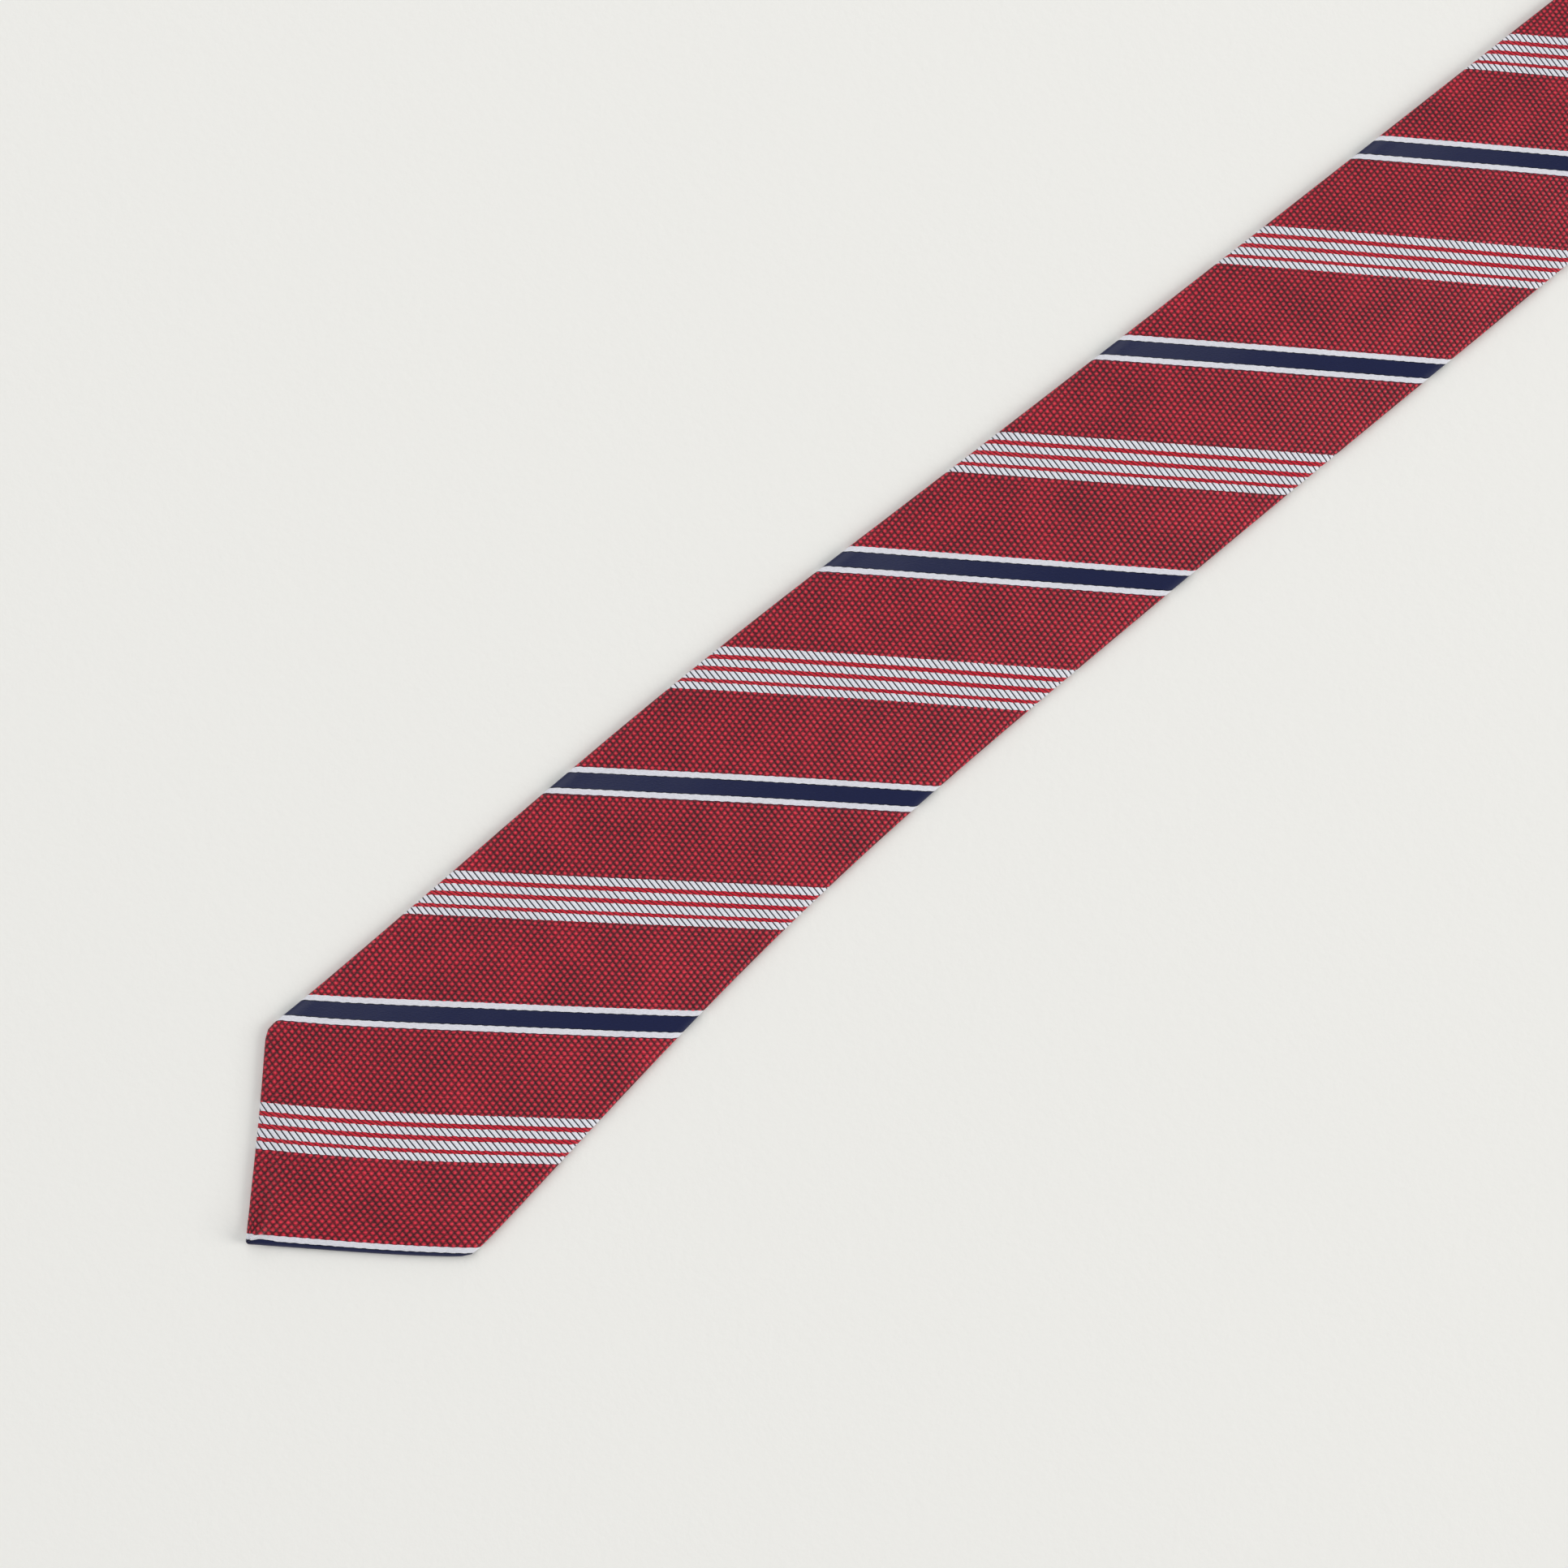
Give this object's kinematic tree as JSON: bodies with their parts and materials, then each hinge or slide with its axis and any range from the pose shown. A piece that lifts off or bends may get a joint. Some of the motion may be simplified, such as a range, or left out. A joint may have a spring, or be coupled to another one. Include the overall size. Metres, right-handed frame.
{
  "type": "necktie",
  "caption": "Lined necktie in striped jacquard, laid flat front up, with pointed blade and tail, keeper loop and folds for storage.",
  "frame": {"origin": "middle of the laid-out tie's bounding box, on the surface that it lies on", "axes": "+X from the blade's point towards the tail's point, +Z out of the front, +Y to the left of the blade as seen from its point"},
  "size_m": [1.4766, 0.0782, 0.0044],
  "materials": {
    "striped_jacquard": "woven red jacquard with navy and white diagonal stripes, soft sheen",
    "tipping_satin": "dark red satin lining",
    "wool_interlining": "napped natural wool blend",
    "woven_label": "blank woven navy label",
    "care_label_tape": "blank white satin tape",
    "red_thread": "red sewing thread",
    "white_thread": "white sewing thread",
    "navy_thread": "navy sewing thread"
  },
  "bodies": {
    "blade_end": {"blade_panel_lower": "striped_jacquard", "interlining_blade_end": "wool_interlining", "blade_tipping": "tipping_satin", "blade_bar_tack": "red_thread", "slip_stitch_blade_end": "red_thread", "keeper_loop": "striped_jacquard", "keeper_tack_left": "navy_thread", "keeper_tack_right": "navy_thread", "maker_label": "woven_label", "maker_label_stitch_left": "white_thread", "maker_label_stitch_right": "white_thread", "care_label": "care_label_tape", "care_label_stitch_lower": "red_thread", "care_label_stitch_upper": "red_thread"},
    "blade_middle": {"blade_panel_upper": "striped_jacquard", "neck_panel_front": "striped_jacquard", "interlining_blade_middle": "wool_interlining", "slip_stitch_blade_middle": "red_thread"},
    "tail_middle": {"neck_panel_rear": "striped_jacquard", "tail_panel_upper": "striped_jacquard", "interlining_tail_middle": "wool_interlining", "slip_stitch_tail_middle": "red_thread"},
    "tail_end": {"tail_panel_lower": "striped_jacquard", "interlining_tail_end": "wool_interlining", "tail_tipping": "tipping_satin", "tail_bar_tack": "red_thread", "slip_stitch_tail_end": "red_thread"}
  },
  "joints": [
    {"name": "blade_fold", "type": "hinge", "parent": "blade_middle", "child": "blade_end", "pos_m": [-0.39022, 0.00888, 0.0054], "axis": [0, 1, 0], "range_deg": [0, 179.9]},
    {"name": "neck_fold", "type": "hinge", "parent": "blade_middle", "child": "tail_middle", "pos_m": [-0.00022, 0.00888, 0.0054], "axis": [0, -1, 0], "range_deg": [0, 160]},
    {"name": "tail_fold", "type": "hinge", "parent": "tail_middle", "child": "tail_end", "pos_m": [0.38978, 0.00888, 0.0054], "axis": [0, -1, 0], "range_deg": [0, 179.9]}
  ]
}
